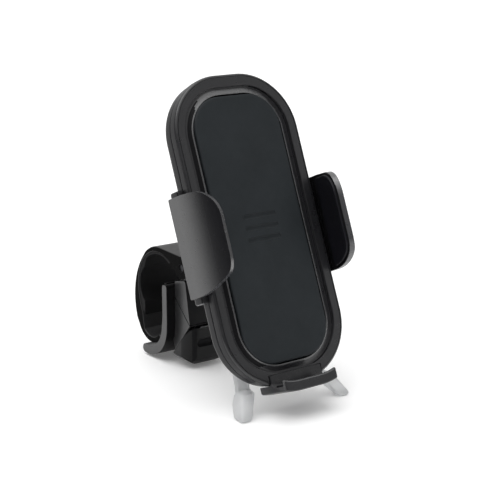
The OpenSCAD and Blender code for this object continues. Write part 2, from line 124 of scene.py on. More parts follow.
def box(x0, x1, y0, y1, z0, z1, edge=0.0):
    bm = prism([(x0, y0), (x1, y0), (x1, y1), (x0, y1)], z0, z1)
    if edge:
        round_edges(bm, edge)
    return bm


def round_edges(bm, width, segments=3, sharp=40, where=None):
    """Rounds every edge that turns by more than sharp degrees, or only those that
    where(midpoint) picks."""
    edges = []
    for e in bm.edges:
        if len(e.link_faces) == 2 and math.degrees(e.calc_face_angle(0)) > sharp:
            mid = (e.verts[0].co + e.verts[1].co) / 2
            if where is None or where(mid):
                edges.append(e)
    if edges:
        bmesh.ops.bevel(bm, geom=edges, offset=width, segments=segments, profile=0.5,
                        affect="EDGES",
                        clamp_overlap=True, offset_type="OFFSET", miter_outer="ARC")
    bm.normal_update()
    return bm


def cut_across(bm, axis, positions):
    """Adds edge loops where the mesh crosses planes, so that it can bend."""
    normal = Vector((0, 0, 0))
    normal[axis] = 1
    for p in positions:
        co = Vector((0, 0, 0))
        co[axis] = p
        bmesh.ops.bisect_plane(bm, geom=bm.verts[:] + bm.edges[:] + bm.faces[:], dist=1e-5,
                               plane_co=co, plane_no=normal)
    return bm


def loft(rings, closed=False):
    """Skins rings of the same length. Closed rings of rings make a torus; otherwise both ends
    are capped."""
    bm = bmesh.new()
    made = [[bm.verts.new(p) for p in ring] for ring in rings]
    n = len(rings[0])
    pairs = list(zip(made, made[1:]))
    if closed:
        pairs.append((made[-1], made[0]))
    for a, b in pairs:
        for i in range(n):
            j = (i + 1) % n
            bm.faces.new((a[i], a[j], b[j], b[i]))
    if not closed:
        bm.faces.new(made[0][::-1])
        bm.faces.new(made[-1])
    bmesh.ops.recalc_face_normals(bm, faces=bm.faces[:])
    return bm


def lathe(profile, steps=64):
    """Turns (r, z) points about z. Points on the axis become one vertex."""
    bm = bmesh.new()
    rings = []
    for r, z in profile:
        if r < 1e-6:
            rings.append([bm.verts.new((0, 0, z))])
        else:
            rings.append([bm.verts.new((r * math.cos(2 * math.pi * k / steps),
                                        r * math.sin(2 * math.pi * k / steps), z))
                                        for k in range(steps)])
    for a, b in zip(rings, rings[1:] + rings[:1]):
        if len(a) == 1 and len(b) == 1:
            continue
        for k in range(steps):
            j = (k + 1) % steps
            if len(a) == 1:
                bm.faces.new((a[0], b[j], b[k]))
            elif len(b) == 1:
                bm.faces.new((a[k], a[j], b[0]))
            else:
                bm.faces.new((a[k], a[j], b[j], b[k]))
    bmesh.ops.recalc_face_normals(bm, faces=bm.faces[:])
    return bm


def pill(length, r, squash=1.0, steps=24, rings=8):
    """A bar along x with round ends, flattened along z."""
    bm = bmesh.new()
    bmesh.ops.create_uvsphere(bm, u_segments=steps, v_segments=rings * 2, radius=r)
    for v in bm.verts:
        v.co.z *= squash
        if v.co.x > 1e-6:
            v.co.x += length / 2
        elif v.co.x < -1e-6:
            v.co.x -= length / 2
    return bm


def merged(*parts):
    bm = bmesh.new()
    for part in parts:
        mesh = bpy.data.meshes.new("part")
        part.to_mesh(mesh)
        part.free()
        bm.from_mesh(mesh)
        bpy.data.meshes.remove(mesh)
    return bm


def moved(bm, matrix):
    bmesh.ops.transform(bm, matrix=matrix, verts=bm.verts[:])
    return bm


def shift(bm, x=0, y=0, z=0):
    return moved(bm, Matrix.Translation((x, y, z)))


def warp(bm, place):
    for v in bm.verts:
        v.co = place(v.co)
    return bm


def to_object(name, bm):
    mesh = bpy.data.meshes.new(name)
    bm.to_mesh(mesh)
    bm.free()
    obj = bpy.data.objects.new(name, mesh)
    bpy.context.scene.collection.objects.link(obj)
    return obj


def combine(base, kind, *others):
    """Boolean of bmeshes with the exact solver. Frees them all and returns a new one."""
    target = to_object("target", base)
    for other in others:
        tool = to_object("tool", other)
        mod = target.modifiers.new("cut", "BOOLEAN")
        mod.operation = kind
        mod.solver = "EXACT"
        mod.object = tool
        bpy.context.view_layer.update()
        dg = bpy.context.evaluated_depsgraph_get()
        mesh = bpy.data.meshes.new_from_object(target.evaluated_get(dg))
        target.modifiers.clear()
        target.data = mesh
        bpy.data.objects.remove(tool)
    bm = bmesh.new()
    bm.from_mesh(target.data)
    bpy.data.objects.remove(target)
    bmesh.ops.remove_doubles(bm, verts=bm.verts[:], dist=1e-4)
    bmesh.ops.recalc_face_normals(bm, faces=bm.faces[:])
    return bm


def cut(base, *tools):
    return combine(base, "DIFFERENCE", *tools)


def union(base, *others):
    return combine(base, "UNION", *others)


def piece(name, bm, place, body, material, nodes, smooth=32, looks=()):
    """Finishes a mesh as a piece of the object. looks is a list of (material, pick): a face gets
    the first material whose pick(centre, normal) is true, and otherwise the piece's own.
    Centre and normal are in the piece's own frame."""
    bmesh.ops.recalc_face_normals(bm, faces=bm.faces[:])
    for f in bm.faces:
        centre = f.calc_center_median()
        f.material_index = next((i for i, (_, pick) in enumerate(looks, 1)
                                 if pick(centre, f.normal)), 0)
    bm.transform(place)
    bmesh.ops.recalc_face_normals(bm, faces=bm.faces[:])
    obj = to_object(name, bm)
    mesh = obj.data
    mesh.shade_smooth()
    mesh.set_sharp_from_angle(angle=math.radians(smooth))
    mod = obj.modifiers.new("even_normals", "WEIGHTED_NORMAL")
    mod.keep_sharp = True
    mod.weight = 70
    for m in (material, *(look for look, _ in looks)):
        mesh.materials.append(m)
    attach(obj, body)
    if nodes:
        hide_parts(*nodes)
    return obj


# ------------------------------------------------------------------- materials

def new_material(name):
    mat = bpy.data.materials.new(name)
    mat.use_nodes = True
    tree = mat.node_tree
    tree.nodes.clear()
    out = tree.nodes.new("ShaderNodeOutputMaterial")
    bsdf = tree.nodes.new("ShaderNodeBsdfPrincipled")
    tree.links.new(bsdf.outputs[0], out.inputs[0])
    coords = tree.nodes.new("ShaderNodeTexCoord")
    return mat, tree, bsdf, coords.outputs["Object"]


def noise(tree, vector, scale, detail=3.0, roughness=0.5):
    n = tree.nodes.new("ShaderNodeTexNoise")
    n.inputs["Scale"].default_value = scale
    n.inputs["Detail"].default_value = detail
    n.inputs["Roughness"].default_value = roughness
    tree.links.new(vector, n.inputs["Vector"])
    return n.outputs["Fac"]


def ramp(tree, value, stops):
    r = tree.nodes.new("ShaderNodeValToRGB")
    r.color_ramp.elements[0].position, r.color_ramp.elements[1].position = stops[0][0], stops[-1][0]
    r.color_ramp.elements[0].color = (*stops[0][1], 1)
    r.color_ramp.elements[1].color = (*stops[-1][1], 1)
    for pos, col in stops[1:-1]:
        r.color_ramp.elements.new(pos).color = (*col, 1)
    tree.links.new(value, r.inputs["Fac"])
    return r.outputs["Color"]


def spread(tree, value, low, high):
    m = tree.nodes.new("ShaderNodeMapRange")
    m.inputs["From Min"].default_value, m.inputs["From Max"].default_value = 0.25, 0.75
    m.inputs["To Min"].default_value, m.inputs["To Max"].default_value = low, high
    tree.links.new(value, m.inputs["Value"])
    return m.outputs["Result"]


def bump(tree, height, strength, distance, before=None):
    b = tree.nodes.new("ShaderNodeBump")
    b.inputs["Strength"].default_value = strength
    b.inputs["Distance"].default_value = distance
    tree.links.new(height, b.inputs["Height"])
    if before is not None:
        tree.links.new(before, b.inputs["Normal"])
    return b.outputs["Normal"]


def smooth_range(tree, value, start, end, low, high):
    """low below start, high above end, and a smooth step between them."""
    m = tree.nodes.new("ShaderNodeMapRange")
    m.interpolation_type = "SMOOTHSTEP"
    m.inputs["From Min"].default_value, m.inputs["From Max"].default_value = start, end
    m.inputs["To Min"].default_value, m.inputs["To Max"].default_value = low, high
    tree.links.new(value, m.inputs["Value"])
    return m.outputs["Result"]


def moulded(name, colour, rough, grain=2600, grain_depth=0.15, cloud=0.12, specular=0.5, fade=None):
    """Moulded plastic or rubber: fine spark-eroded grain, cloudy colour and uneven gloss. fade is
    how the specular level changes out of the cradle's face: from, to in millimetres, then the two
    levels. A fade paints a reflection that is stronger on one side of that span and weaker on the
    other. The export drops a linked level, so there a fade is lost."""
    mat, tree, bsdf, where = new_material(name)
    dark = tuple(c * (1 - cloud) for c in colour)
    light = tuple(c * (1 + cloud) for c in colour)
    clouds = noise(tree, where, 55, 4, 0.55)
    tree.links.new(ramp(tree, clouds, [(0.3, dark), (0.5, colour), (0.7, light)]),
                   bsdf.inputs["Base Color"])
    scuffs = noise(tree, where, 260, 5, 0.65)
    tree.links.new(spread(tree, scuffs, rough - 0.05, rough + 0.06), bsdf.inputs["Roughness"])
    fine = noise(tree, where, grain, 2, 0.6)
    normal = bump(tree, fine, grain_depth, 0.00004)
    normal = bump(tree, clouds, 0.06, 0.0004, normal)
    tree.links.new(normal, bsdf.inputs["Normal"])
    bsdf.inputs["Specular IOR Level"].default_value = specular
    # A fade paints a reflection that changes out of the cradle's face.
    if fade:
        along = tree.nodes.new("ShaderNodeVectorMath")
        along.operation = "DOT_PRODUCT"
        along.inputs[1].default_value = OUT
        tree.links.new(where, along.inputs[0])
        start, end, low, high = fade
        base = FACE.dot(OUT)
        level = smooth_range(tree, along.outputs["Value"], base + start * MM, base + end * MM,
                             low, high)
        tree.links.new(level, bsdf.inputs["Specular IOR Level"])
    return mat


def metal(name, colour, rough, scale=(400, 4000, 400)):
    """Brushed or drawn steel with fine lines."""
    mat, tree, bsdf, where = new_material(name)
    mapping = tree.nodes.new("ShaderNodeMapping")
    mapping.inputs["Scale"].default_value = scale
    tree.links.new(where, mapping.inputs["Vector"])
    lines = noise(tree, mapping.outputs["Vector"], 1.0, 4, 0.6)
    tree.links.new(ramp(tree, lines, [(0.3, tuple(c * 0.8 for c in colour)), (0.7, colour)]),
                   bsdf.inputs["Base Color"])
    tree.links.new(spread(tree, lines, rough - 0.06, rough + 0.08), bsdf.inputs["Roughness"])
    tree.links.new(bump(tree, lines, 0.2, 0.00003), bsdf.inputs["Normal"])
    bsdf.inputs["Metallic"].default_value = 1.0
    return mat


def frosted(name):
    mat, tree, bsdf, where = new_material(name)
    clouds = noise(tree, where, 90, 3, 0.5)
    tree.links.new(ramp(tree, clouds, [(0.3, (0.80, 0.81, 0.82)), (0.7, (0.90, 0.905, 0.91))]),
                   bsdf.inputs["Base Color"])
    fine = noise(tree, where, 1800, 2, 0.5)
    tree.links.new(spread(tree, fine, 0.32, 0.46), bsdf.inputs["Roughness"])
    tree.links.new(bump(tree, fine, 0.2, 0.00004), bsdf.inputs["Normal"])
    bsdf.inputs["Transmission Weight"].default_value = 0.55
    bsdf.inputs["IOR"].default_value = 1.45
    return mat


# The plastics below for grooves, lips, jaw edges, bezel sides, case fronts, jaw insides and strap
# sides are the same plastics, darker or lighter, for faces that point a certain way. The darker
# ones are painted shade and the lighter ones painted highlights, standing in for reflections and
# shade.
M = {
    # Near-black plastic that paints shade into the gap round the face pad, the bezel's channel, the
    # clamp's seam and the lever's dent.
    "painted_shade": moulded("painted_shade_plastic", (0.004, 0.004, 0.005), 0.5, specular=0.15),
    # The strap's own plastic with a rougher grain for its flat sides; its darker colour is painted
    # shade.
    "strap_side_painted_shade": moulded("strap_rough_painted_shade", (0.004, 0.004, 0.004), 0.8, grain=900, grain_depth=1.0,
                          specular=0.05),
    "bezel": moulded("bezel_plastic", (0.016, 0.016, 0.018), 0.3, grain_depth=0.08, specular=0.65),
    # Lighter, glossier plastic that paints highlights on lips and edges.
    "lip": moulded("lip_painted_highlight", (0.075, 0.075, 0.078), 0.25, grain_depth=0.04, specular=1.0),
    # Darker, duller plastic that paints shade on the outer side walls of the bezel and the shell.
    "bezel_side_painted_shade": moulded("bezel_side_painted_shade", (0.013, 0.013, 0.0145), 0.34, grain_depth=0.05,
                          specular=0.18),
    # The fade paints a reflection: strong near the cradle's face, weak towards the jaw's front.
    "jaw": moulded("jaw_plastic", (0.007, 0.007, 0.0085), 0.24, grain_depth=0.0,
                   fade=(1, 15, 0.95, 0.17)),
    # Lighter plastic that paints highlights on the jaws' rounded edges.
    "jaw_edge_painted_highlight": moulded("jaw_edge_painted_highlight", (0.045, 0.045, 0.049), 0.28, grain_depth=0.05, specular=0.9),
    # Darker plastic that paints shade on the jaws' inner faces.
    "jaw_inside_painted_shade": moulded("jaw_inside_painted_shade", (0.006, 0.006, 0.007), 0.5, specular=0.2),
    "ledge": moulded("ledge_plastic", (0.012, 0.012, 0.014), 0.3, specular=0.6),
    "shell": moulded("shell_plastic", (0.030, 0.030, 0.032), 0.4, grain_depth=0.25, specular=0.6),
    "pad": moulded("pad_rubber", (0.018, 0.022, 0.025), 0.62, grain=3200, grain_depth=0.3,
                   specular=0.25),
    "jaw_pad": moulded("jaw_pad_rubber", (0.006, 0.006, 0.009), 0.55, grain=3000, grain_depth=0.25,
                       specular=0.2),
    "strap": moulded("strap_plastic", (0.018, 0.018, 0.0185), 0.5, grain=1500, grain_depth=0.7,
                     specular=0.5),
    "liner": moulded("liner_rubber", (0.008, 0.008, 0.0085), 0.6, grain=2600, grain_depth=0.2,
                     specular=0.1),
    "case": moulded("case_plastic", (0.022, 0.022, 0.023), 0.36, grain_depth=0.15, specular=0.7),
    # Darker plastic that paints shade on the clamp's faces that turn towards the cradle.
    "case_front_painted_shade": moulded("case_front_painted_shade", (0.005, 0.005, 0.0055), 0.4, grain_depth=0.15,
                          specular=0.2),
    "lever": moulded("lever_plastic", (0.004, 0.004, 0.0045), 0.34, grain_depth=0.08,
                     specular=0.25),
    "nut": moulded("nut_plastic", (0.035, 0.035, 0.036), 0.4, grain_depth=0.3, specular=0.4),
    "ball": moulded("ball_plastic", (0.05, 0.05, 0.052), 0.22, grain_depth=0.05, specular=0.5),
    "gear": moulded("gear_acetal", (0.72, 0.72, 0.69), 0.35, grain_depth=0.1, cloud=0.03),
    "steel": metal("zinc_steel", (0.62, 0.62, 0.63), 0.32),
    "wire": metal("spring_wire", (0.5, 0.5, 0.5), 0.28, (900, 900, 5000)),
    "pin": metal("blacked_steel", (0.05, 0.05, 0.055), 0.45),
    "foot": frosted("frosted_feet"),
}


def repaint(node, key, edge=0.0):
    """Gives a carried-over CAD node its material and, where asked, slightly rounded edges."""
    obj = NODES[node]
    obj.data.materials.clear()
    obj.data.materials.append(M[key])
    if edge:
        mod = obj.modifiers.new("edges", "BEVEL")
        mod.width = edge * MM
        mod.segments = 2
        mod.limit_method = "ANGLE"
        mod.angle_limit = math.radians(42)
        mod.harden_normals = False
    obj.data.shade_smooth()
    obj.data.set_sharp_from_angle(angle=math.radians(32))


# --------------------------------------------------------------------- cradle

CRADLE_W, CRADLE_L, CRADLE_R = 63.5, 135.0, 26.2
LEDGE_HALF = 13.6


def cradle_ring(inset, n, w=CRADLE_W, length=CRADLE_L, r=CRADLE_R, steps=28):
    """Rounded rectangle at height n."""
    hx, hy, rr = w / 2 - inset, length / 2 - inset, max(r - inset, 0.2)
    pts = []
    for cx, cy, a in ((hx - rr, hy - rr, 0), (-hx + rr, hy - rr, 90), (-hx + rr, -hy + rr, 180),
                      (hx - rr, -hy + rr, 270)):
        pts += arc(cx, cy, rr, a, a + 90, steps)
    return [(x, y, n) for x, y in pts]


def outside(c, w, length, r):
    """Distance of a point outside a rounded rectangle, negative inside it."""
    dx, dy = abs(c.x) - (w / 2 - r), abs(c.y) - (length / 2 - r)
    if dx > 0 and dy > 0:
        return math.hypot(dx, dy) - r
    return max(dx, dy) - r


def front_bezel():
    # (inset, n) from the pad outwards: the lip, the channel, the face and the rounded rim
    section = [(9.1, -2.6), (8.92, -2.5), (8.9, -2.3), (8.9, -0.5), (8.86, -0.3), (8.74, -0.18),
               (8.56, -0.13), (8.36, -0.2), (8.1, -0.36), (7.6, -0.62), (7.0, -0.9),
               (6.4, -1.14), (6.0, -1.24), (5.72, -1.18), (5.6, -1.0), (5.54, -0.6),
               (5.5, -0.28), (5.4, -0.09), (5.2, -0.02), (4.95, 0),
               (1.62, 0), (1.5, -0.05), (1.44, -0.3), (1.22, -0.3), (1.14, -0.07), (1.0, -0.06),
               (0.62, -0.18), (0.3, -0.42), (0.1, -0.75), (0, -1.2), (0, -3.95), (0.06, -4.15),
               (0.3, -4.35), (0.75, -4.6)]
    bm = loft([cradle_ring(i, n, CRADLE_W + (1.0 if 4.9 < i < 6.1 else 0)) for i, n in section])
    recess = box(-LEDGE_HALF - 0.4, LEDGE_HALF + 0.4, -75, -62.2, -1.5, 1)
    bosses = [shift(lathe([(0, -9), (3, -9), (3, -4.4), (0, -4.4)], 32), x, y) for x in (-19, 19)
              for y in (50, -42)]
    bm = cut(bm, recess)
    bm = merged(bm, *bosses)

    def inset(c):
        return -outside(c, CRADLE_W, CRADLE_L, CRADLE_R)

    # Insets of the channel's outer edge, its floor and its lip, and the depth of the pad's seat
    edge, channel, lip, seat = 5.2, 5.7, 8.9, -2.7
    # Painted light on the bezel: the lip plastic paints a highlight on the channel's inner slope
    # and lip where they face up the cradle or reach the face; the near-black plastic paints shade
    # in the gap round the pad and on channel faces that turn towards minus x; the bezel side
    # plastic paints shade on the outer side wall.
    looks = [(M["lip"], lambda c, normal: c.z > seat and channel < inset(c) < lip - 0.02
              and (normal.y > 0.3 or c.z > -0.3)),
             (M["painted_shade"], lambda c, normal: c.z > seat
              and (inset(c) > lip or inset(c) > edge and normal.x < -0.2)),
             (M["bezel_side_painted_shade"], lambda c, normal: c.z < -0.6 and inset(c) < 0.8)]
    return piece("front_bezel_visual", bm, CRADLE, "cradle", M["bezel"],
                 ["front_bezel"], looks=looks)


def face_pad():
    w, length, r = 44.3, 116, 14.7
    section = [(0.12, -2.6), (0, -2.45), (0, -0.35), (0.06, 0.02), (0.2, 0.3), (0.45, 0.48),
               (0.85, 0.57), (1.4, 0.6)]
    bm = loft([cradle_ring(i, n, w, length, r) for i, n in section])
    grooves = [shift(pill(15, 1.1, 0.6), 0, y, 0.62) for y in (-5, 0, 5)]
    bm = cut(bm, *grooves)
    return piece("face_pad_visual", bm, CRADLE, "cradle", M["pad"], ["face_pad"])


def back_shell():
    section = [(2.7, -9), (2.45, -8.9), (2.4, -8.7), (2.4, -4.66), (2.3, -4.61), (1.5, -4.61),
               (1.38, -4.68), (1.34, -4.86), (1.2, -4.9), (0.7, -5.1), (0.43, -5.35), (0.35, -5.65),
               (0.35, -8.1), (0.42, -8.75), (0.66, -9.4), (1.05, -10), (1.6, -10.5), (2.25, -10.83),
               (3.0, -10.97),
               (3.8, -11)]
    bm = loft([cradle_ring(i, n) for i, n in section])
    shoulders = []
    for s in (-1, 1):
        x0, x1 = sorted((s * 29.6, s * 34.35))
        shoulders.append(round_edges(box(x0, x1, -27.3, 21.2, -11, -4.9), 0.9, 3, 40, lambda c,
                                     s=s: s * c.x > 31))
    bm = union(bm, *shoulders)
    tools = [box(-40, -28.0, -18.3, 12.3, -8.95, -5.85), box(28.0, 40, -18.3, 12.3, -8.95, -5.85),
             box(-31, 31, -18.3, 12.3, -8.95, -4.0),
             box(-9.3, 9.3, -80, -44, -8.95, -5.95), box(-5.2, 5.2, -33.8, -21, -20, -8)]
    for x in (-19, 19):
        for y in (50, -42):
            tools.append(shift(lathe([(0, -12), (2.2, -12), (2.2, -9.8), (1.25, -9.8), (1.25, -8),
                                      (0, -8)], 32), x, y))
    bm = cut(bm, *tools)
    return piece("back_shell_visual", bm, CRADLE, "cradle", M["shell"],
                 ["back_shell"],
                 # Painted light on the shell: the lip plastic paints a highlight on the lower ends
                 # of the shoulders, and the bezel side plastic paints shade on the side wall next
                 # to the rim.
                 looks=[(M["lip"], lambda c, normal: c.y < -26.2 and c.y > -28 and abs(c.x) > 31.5
                         and normal.y < -0.3),
                        (M["bezel_side_painted_shade"], lambda c, normal: -10 < c.z and abs(normal.z) < 0.8
                         and outside(c, CRADLE_W, CRADLE_L, CRADLE_R) > -1.3)])


# ----------------------------------------------------------------------- jaws

JAW_X, JAW_R, JAW_T, JAW_REACH = 37.2, 47.5, 2.6, 19.6
SLIDE_LO, SLIDE_HI = -8.7, -6.1


def arc_length(n):
    return n if n < -2 else -2 + JAW_R * math.asin((n + 2) / JAW_R)


def bent(co):
    """(v, arc length, depth from the outer face) to the right jaw's place on the cradle."""
    v, s, t = co
    if s <= -2:
        return Vector((JAW_X - t, v, s))
    a = (s + 2) / JAW_R
    return Vector((JAW_X - JAW_R + (JAW_R - t) * math.cos(a), v, -2 + (JAW_R - t) * math.sin(a)))


def jaw_outline():
    corner = arc(5.5, JAW_REACH - 12.5, 12.5, 90, 6, 14)
    points = [(-24.5, SLIDE_LO), (-24.3, 1.5), (-22.6, 8.5), (-19.6, JAW_REACH - 4.6),
              (-17.2, JAW_REACH - 1.2), (-13.2, JAW_REACH)]
    cuts = [0.8, 4, 4, 3, 3, 3] + [0] * len(corner) + [0, 0.8]
    points = points + corner + [(18.4, 1), (18.4, SLIDE_LO)]
    return [(v, arc_length(n)) for v, n in fillet(points, cuts, 8)]


def jaw_pad_outline():
    points = [(-22.9, 1.1), (-21.4, 8), (-18.65, JAW_REACH - 5.2), (-16.4, JAW_REACH - 2.35),
              (-13.8, JAW_REACH - 1.15)]
    corner = arc(5.5, JAW_REACH - 12.5, 11.35, 90, 6, 14)
    cuts = [1.0, 3, 2.5, 2, 2] + [0] * len(corner) + [1.0]
    return [(v, arc_length(n)) for v, n in fillet(points + corner + [(16.75, 1.1)], cuts, 8)]


def rack():
    """Rack bar below the pinion, teeth up."""
    line, pitch, gap = -9.0, math.pi, 0.12
    tooth, slope = pitch / 4 - gap, math.tan(math.radians(20))
    outline = [(-18.5, line - 6), (20.5, line - 6), (20.5, line - 1.2)]
    for k in range(5, -7, -1):
        c = (k + 0.5) * pitch
        for dx, dy in ((tooth + 1.2 * slope, -1.2), (tooth - 0.7 * slope, 0.7),
                       (-tooth + 0.7 * slope, 0.7), (-tooth - 1.2 * slope, -1.2)):
            if -18.4 < c + dx < 20.4:
                outline.append((c + dx, line + dy))
    outline.append((-18.5, line - 1.2))
    return prism(outline, SLIDE_LO, SLIDE_HI)


def jaw(side):
    name = "left" if side < 0 else "right"
    wall = prism(jaw_outline(), 0, JAW_T)
    round_edges(wall, 1.45, 3, 40, lambda c: c.z < 0.5 and c.y > -7)
    round_edges(wall, 0.4, 3, 40, lambda c: c.z > JAW_T - 0.1)
    cut_across(wall, 1, [-2 + 1.1 * i for i in range(0, 22)])
    warp(wall, bent)
    slider = box(19.5, JAW_X - 1, -18, 12, SLIDE_LO, SLIDE_HI, 0.3)
    if side < 0:
        half_turn = Matrix.Translation((0, -3, 0)) @ Matrix.Rotation(math.pi, 4, "Z")
        bars = moved(rack(), half_turn @ Matrix.Translation((0, 3, 0)))
        flip = Matrix.Scale(-1, 4, (1, 0, 0))
        wall, slider = moved(wall, flip), moved(slider, flip)
    else:
        bars = rack()
    bm = merged(wall, slider, bars)
    return piece(name + "_jaw_visual", bm, CRADLE, "jaw_" + name, M["jaw"],
                 [name + "_jaw"],
                 # Painted light on the jaw: darker plastic paints shade on its inner faces; the lip
                 # and jaw edge plastics paint highlights on its rounded top and front edges.
                 looks=[(M["jaw_inside_painted_shade"], lambda c, normal: normal.x * side < -0.6 and c.z > -5),
                        (M["lip"], lambda c, normal: c.z > 0
                         and (normal.y > 0.5 or side < 0 and normal.z > 0.62)),
                        (M["jaw_edge_painted_highlight"], lambda c, normal: c.z > 0
                         and (abs(normal.y) > 0.25 or normal.z > 0.6))])


def jaw_pad(side):
    name = "left" if side < 0 else "right"
    pad = prism(jaw_pad_outline(), JAW_T + 0.02, JAW_T + 1.1)
    round_edges(pad, 0.4, 3, 40, lambda c: c.z > JAW_T + 0.9)
    cut_across(pad, 1, [-2 + 1.1 * i for i in range(0, 22)])
    warp(pad, bent)
    if side < 0:
        moved(pad, Matrix.Scale(-1, 4, (1, 0, 0)))
    return piece(name + "_jaw_pad_visual", pad, CRADLE, "jaw_" + name, M["jaw_pad"],
                 [name + "_jaw_pad"])


# ---------------------------------------------------------------------- ledge

def rim_v(x, off):
    """v of the cradle's lower rim at x, off millimetres outside it."""
    flat = CRADLE_W / 2 - CRADLE_R
    base = -CRADLE_L / 2 + CRADLE_R
    r = CRADLE_R + off
    return base - math.sqrt(max(r * r - max(abs(x) - flat, 0) ** 2, 0))


def sweep_rim(section, half, steps=36, inner_v=None):
    """Pushes a section of (offset, n) points along the rim. Points whose offset is None lie on
    the line v = inner_v."""
    rings = []
    for i in range(steps + 1):
        x = half * (-1 + 2 * i / steps)
        rings.append([(x, inner_v if off is None else rim_v(x, off), n) for off, n in section])
    return loft(rings)


def bottom_ledge():
    reach = 10.2
    section = [(0.3, -8.7), (2.6, -8.7), (3.05, -8.55), (3.3, -8.1), (3.3, reach - 0.9),
               (3.2, reach - 0.45), (2.95, reach - 0.12),
               (2.5, reach), (-0.6, reach), (-1.0, reach - 0.12), (-1.2, reach - 0.5),
               (-1.2, reach - 1.3), (-1.0, reach - 1.6),
               (-0.5, reach - 1.7), (0.9, reach - 1.75), (1.22, reach - 1.95), (1.3, reach - 2.4),
               (1.3, 1.6), (1.2, 1.2), (0.9, 0.95),
               (0.5, 0.8), (0.1, 0.55), (-0.3, 0.36), (-0.8, 0.3), (None, 0.3), (None, -1.2),
               (0.3, -1.2)]
    hook = sweep_rim(section, LEDGE_HALF, inner_v=-62.4)
    round_edges(hook, 0.25, 2, 50)
    tongue = box(-9, 9, -68.2, -46, -8.7, -6.3, 0.3)
    bm = merged(hook, tongue)
    return piece("bottom_ledge_visual", bm, CRADLE, "ledge", M["ledge"],
                 ["bottom_ledge"],
                 # The lip plastic paints a highlight along the top of the ledge's lip.
                 looks=[(M["lip"], lambda c, normal: c.z > 9.4
                         and outside(c, CRADLE_W, CRADLE_L, CRADLE_R) < -0.5)])


def ledge_pad():
    bm = sweep_rim([(0.2, 1.25), (1.25, 1.25), (1.25, 8.4), (0.2, 8.4)], LEDGE_HALF - 1.7)
    round_edges(bm, 0.18, 2, 50)
    return piece("ledge_pad_visual", bm, CRADLE, "ledge", M["jaw_pad"], ["ledge_pad"])


# ---------------------------------------------------------------------- clamp

HOOK = (1.7, -15.5)
HINGE = (-25.0, 14.9)
RIDGE = (-27.8, -12.5)
LEVER = (JOINTS["lever_hinge"]["pos_m"][1] / MM, JOINTS["lever_hinge"]["pos_m"][2] / MM)


def tube_x(y, z, r, x0, x1, steps=40):
    return prism(arc(y, z, r, 0, 360 - 360 / steps, steps - 1), x0, x1)


def clamp_base():
    hook = [(-15.6, 4.6), (-15.6, -13.5)] + arc(*HOOK, 17.1, 181, 277,
                                                30) + arc(3.8, -30.4, 2.15, -80, 95, 10)
    hook += arc(*HOOK, 12.8, 279, 186, 26) + [(-11.55, -13.5), (-11.9, -10), (-11.9, 4.6)]
    cuts = [1.6] + [0] * (len(hook) - 2) + [1.6]
    bar = round_edges(prism(fillet(hook, cuts, 8), -15, 15), 0.7, 3, 50)
    wedge = prism(fillet([(-14, -0.2), RIDGE, (-26.6, -13.9), (-15.4, -27.2), (-13, -22)],
                         [0, 0.5, 0.5, 0.8, 0], 5), -10.4, 10.4)
    round_edges(wedge, 0.5, 3, 50)
    key = prism([(-16, -1.55), (-16, -6), (-24, -13), (-26.6, -11.0)], -9.6, 9.6)
    bm = union(bar, wedge, key)
    window = prism([(-40, -13.4), (-19, -13.4), (-4.5, -18.5), (-4.5, -25.6), (-13, -31),
                    (-40, -31)], -3.4, 3.4)
    tools = [window, tube_x(*LEVER, 2.3, 3.4, 6.4)]
    for s in (-1, 1):
        a, b = sorted((s * 6.8, s * 9.7))
        slot = [(LEVER[0] - 9, LEVER[1] - 4.2), (LEVER[0] + 1.9, LEVER[1] - 4.2)]
        slot += arc(*LEVER, 2.7, -45, 90, 10) + [(LEVER[0] - 9, LEVER[1] + 2.7)]
        tools.append(prism(slot, a, b))
    bm = cut(bm, *tools)
    return piece("clamp_base_visual", bm, ALONG_X, "clamp", M["case"],
                 ["clamp_base"],
                 # Painted shade: near-black plastic in the seam against the joint block, and darker
                 # plastic on faces that turn towards the cradle.
                 looks=[(M["painted_shade"], lambda c, normal: c.x < -14 and -13.2 < c.y < 0
                         and normal.x < -0.3 and normal.y > 0.3),
                        (M["case_front_painted_shade"], lambda c, normal: normal.x < -0.35)])


def joint_block():
    socket = (BALL.y / MM, BALL.z / MM)
    neck = (socket[0] - 9.5 * OUT.y, socket[1] - 9.5 * OUT.z)
    wedge = prism(fillet([(-15.7, -1.2), (-15.7, 6.3), (-24.3, 8.2), (RIDGE[0], RIDGE[1] + 0.35)],
                         [0, 0.8, 1.5, 0.6], 6), -10.4, 10.4)
    round_edges(wedge, 0.55, 3, 50)
    lug = prism(hull_of(arc(*HINGE, 5.6, 0, 345, 23) + arc(*neck, 7.6, 0, 345, 23)), -6, 6)
    round_edges(lug, 0.8, 3, 50)
    root = prism(hull_of(arc(*HINGE, 5.6, 0, 345, 23) + arc(-22, 4, 4, 0, 345, 23)), -6, 6)
    round_edges(root, 0.5, 3, 50)
    to_side = ALONG_X.inverted() @ AT_BALL
    cup = moved(lathe([(0, -11), (10.0, -11), (11.0, -10.75), (11.6, -10.2), (11.8, -9.4),
                       (11.8, 2.7), (11.7, 3.0), (11.4, 3.1), (0, 3.1)]), to_side)
    bm = union(wedge, lug, root, cup)
    hollow = [(0, 6), (9.9, 6), (9.9, 0)] + [(9.9 * math.cos(math.radians(a)),
                                              -9.9 * math.sin(math.radians(a)))
                                              for a in range(9, 90, 9)] + [(0, -9.9)]
    bm = cut(bm, moved(lathe(hollow), to_side))
    return piece("joint_block_visual", bm, ALONG_X, "clamp", M["case"],
                 ["joint_block"],
                 # Painted shade: near-black plastic in the seam against the clamp base, and darker
                 # plastic on faces that turn towards the cradle.
                 looks=[(M["painted_shade"], lambda c, normal: c.x < -15 and -13 < c.y < 0
                         and normal.x > 0.3 and normal.y < -0.3),
                        (M["case_front_painted_shade"], lambda c, normal: normal.x < -0.35)])


